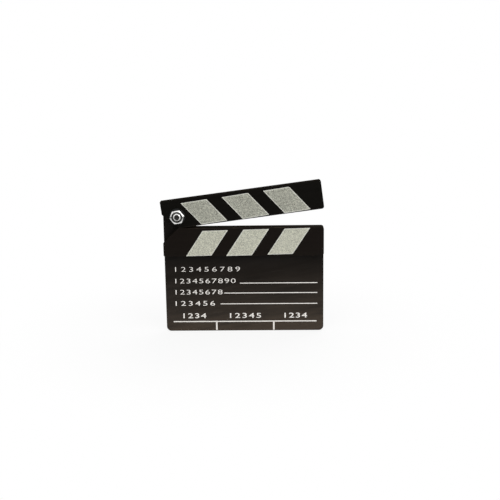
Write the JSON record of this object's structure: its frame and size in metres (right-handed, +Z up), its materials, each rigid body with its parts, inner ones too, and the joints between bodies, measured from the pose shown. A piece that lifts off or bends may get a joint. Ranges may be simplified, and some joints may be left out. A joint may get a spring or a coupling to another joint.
{
  "type": "clapperboard",
  "caption": "Small wooden film slate with a tab-hinged clap stick, striped sticks, a through-bolt pivot and a plain ruled writing face.",
  "frame": {"origin": "middle of the slate's bottom edge, midway between its face and its back", "axes": "+X to the right seen from the front, +Y from the face to the back, +Z up toward the sticks"},
  "size_m": [0.2024, 0.023, 0.1947],
  "materials": {
    "slate_paint": "fibreboard under black slate paint, eggshell",
    "stick_paint": "wood under black paint, satin",
    "stripe_film": "silver-grey self-adhesive film, fine grain",
    "zinc_steel": "bright zinc-plated steel",
    "washer_nylon": "black nylon, matt",
    "print_ink": "off-white screen-print ink of the rules and numbers on the slate, matt"
  },
  "bodies": {
    "board": {"slate_board": "slate_paint", "fixed_stick": "stick_paint", "fixed_stripe_1": "stripe_film", "fixed_stripe_2": "stripe_film", "fixed_stripe_3": "stripe_film", "stick_screws": "zinc_steel", "pivot_bolt": "zinc_steel", "pivot_nut": "zinc_steel", "rear_washer": "washer_nylon", "front_washer": "washer_nylon"},
    "clap": {"clap_stick": "stick_paint", "clap_stripe_1": "stripe_film", "clap_stripe_2": "stripe_film", "clap_stripe_3": "stripe_film"}
  },
  "joints": [
    {"name": "clap_hinge", "type": "hinge", "parent": "board", "child": "clap", "pos_m": [-0.0812, -0.0085, 0.1509], "axis": [0, -1, 0], "range_deg": [-7.3, 80]}
  ]
}
